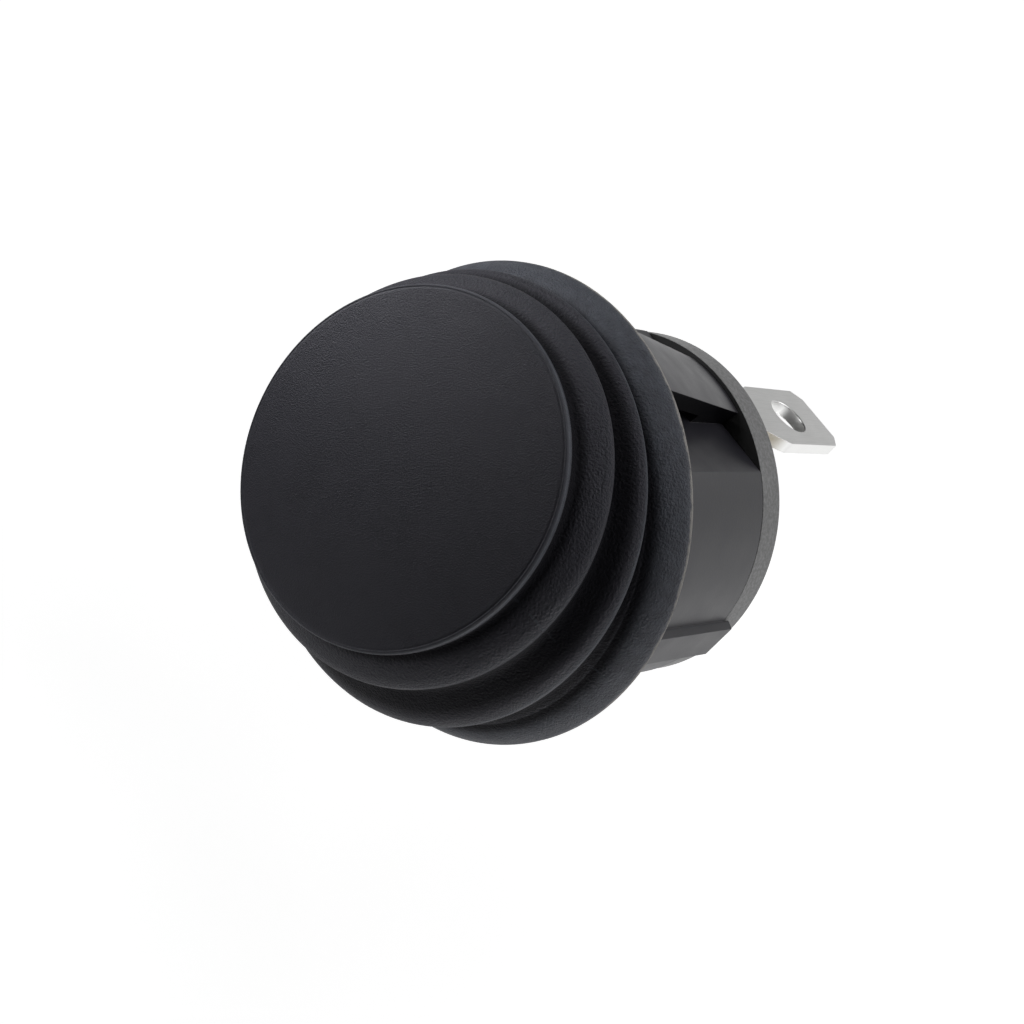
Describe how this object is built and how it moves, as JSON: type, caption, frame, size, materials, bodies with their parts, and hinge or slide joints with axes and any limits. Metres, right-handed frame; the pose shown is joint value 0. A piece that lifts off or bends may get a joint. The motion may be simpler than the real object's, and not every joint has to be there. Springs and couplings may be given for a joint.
{
  "type": "rocker switch",
  "caption": "Round snap-in panel rocker switch under a stepped rubber sealing boot, with a keyed barrel, snap tongues and blade terminals.",
  "frame": {"origin": "on the hinge axis at the centre of the boot's rear face, which lies on the panel", "axes": "+Y runs to the rear through the panel, X is the rocker's hinge axis with the key on +X, +Z points to the switched terminal's side"},
  "size_m": [0.025, 0.0375, 0.025],
  "materials": {
    "boot_rubber": "matt, fine grain",
    "housing_nylon": "smooth, half gloss",
    "base_nylon": "fine grain",
    "rocker_nylon": "moulded",
    "plunger_nylon": "moulded",
    "spring_steel": "drawn wire",
    "strip_brass": "rolled",
    "contact_silver": "silver alloy",
    "tab_plated": "silver plated, sheared edges bare"
  },
  "bodies": {
    "housing": {"housing": "housing_nylon", "base": "base_nylon", "terminal_common": "tab_plated", "terminal_switched": "tab_plated", "fixed_contact": "contact_silver", "sealing_boot": "boot_rubber"},
    "rocker": {"rocker": "rocker_nylon", "plunger_spring": "spring_steel"},
    "plunger": {"plunger": "plunger_nylon"},
    "lever": {"contact_lever": "strip_brass", "moving_contact": "contact_silver"}
  },
  "joints": [
    {"name": "rocker_hinge", "type": "hinge", "parent": "housing", "child": "rocker", "pos_m": [0, 0, 0], "axis": [1, 0, 0], "range_deg": [0, 34], "deforming": ["sealing_boot"]},
    {"name": "plunger_slide", "type": "slide", "parent": "rocker", "child": "plunger", "axis": [0, -0.9563, 0.2924], "range_m": [0, 0.0008], "stiffness_N_per_m": 300, "springref_m": -0.002, "deforming": ["plunger_spring"]},
    {"name": "lever_pivot", "type": "hinge", "parent": "housing", "child": "lever", "pos_m": [0, 0.008, 0], "axis": [1, 0, 0], "range_deg": [-14, 0]}
  ],
  "couplings": [
    {"joint": "lever_pivot", "follows": "rocker_hinge", "ratio": -0.41176}
  ]
}
